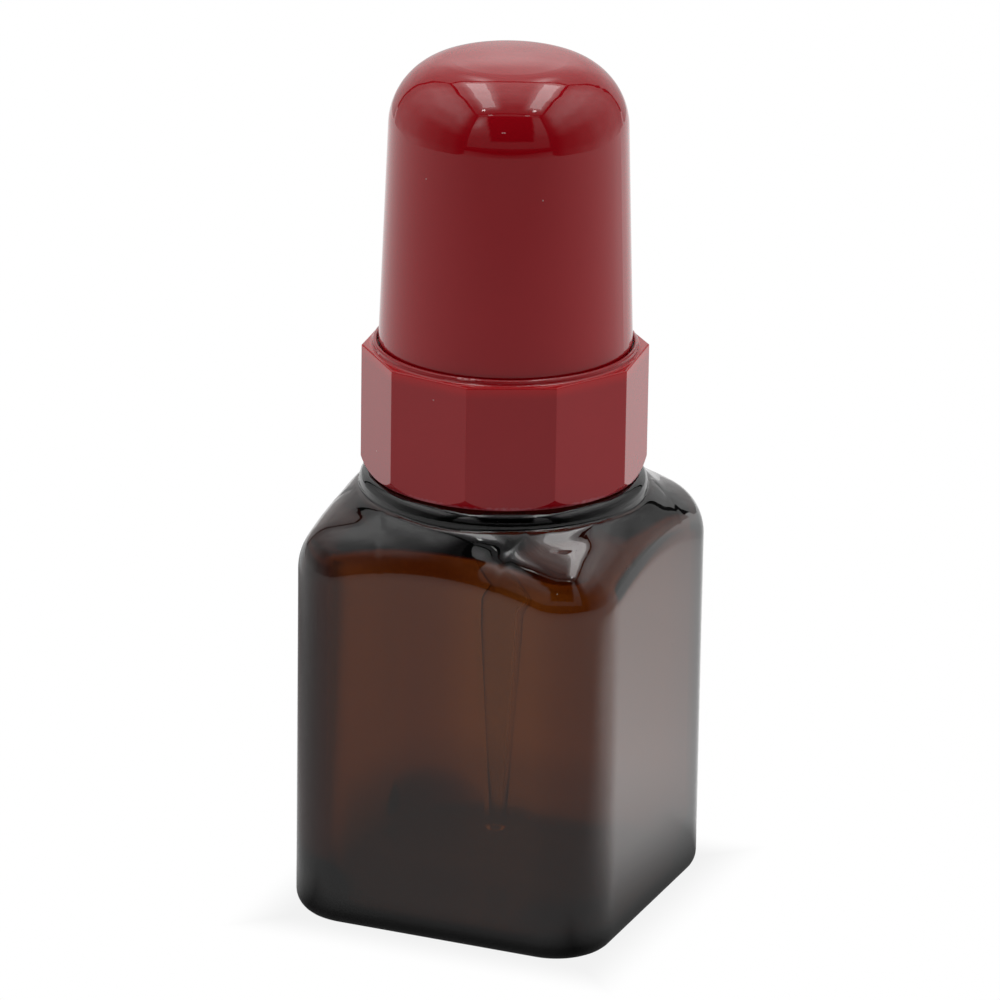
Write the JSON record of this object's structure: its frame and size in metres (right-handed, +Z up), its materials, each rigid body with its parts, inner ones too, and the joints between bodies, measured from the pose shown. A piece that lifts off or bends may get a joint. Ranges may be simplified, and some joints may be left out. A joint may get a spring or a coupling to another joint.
{
  "type": "ink bottle",
  "caption": "Square amber glass ink bottle with a faceted screw collar, a rubber dropper bulb with a glass pipette, and a tall domed overcap.",
  "frame": {"origin": "centre of the bottle's base, on the surface it stands on", "axes": "+Z up along the bottle's axis; the flat sides are square to X and Y"},
  "size_m": [0.042, 0.042, 0.1089],
  "materials": {
    "amber_glass": "glossy amber-brown container glass",
    "red_plastic": "polished dark red moulded plastic",
    "black_rubber": "matt black moulded rubber",
    "clear_glass": "clear drawn glass tube"
  },
  "bodies": {
    "glass_bottle": {"bottle": "amber_glass"},
    "dropper": {"rubber_bulb": "black_rubber", "pipette": "clear_glass"},
    "collar": {"screw_collar": "red_plastic"},
    "cap": {"overcap": "red_plastic"}
  },
  "joints": [
    {"name": "dropper_rise", "type": "slide", "parent": "glass_bottle", "child": "dropper", "axis": [0, 0, 1], "range_m": [0, 0.00735]},
    {"name": "collar_turn", "type": "hinge", "parent": "dropper", "child": "collar", "pos_m": [0, 0, 0.064], "axis": [0, 0, 1], "range_deg": [0, 630.5]},
    {"name": "overcap_pull", "type": "slide", "parent": "collar", "child": "cap", "axis": [0, 0, 1], "range_m": [0, 0.045]}
  ],
  "couplings": [
    {"joint": "collar_turn", "follows": "dropper_rise", "rad_per_m": 1496}
  ]
}
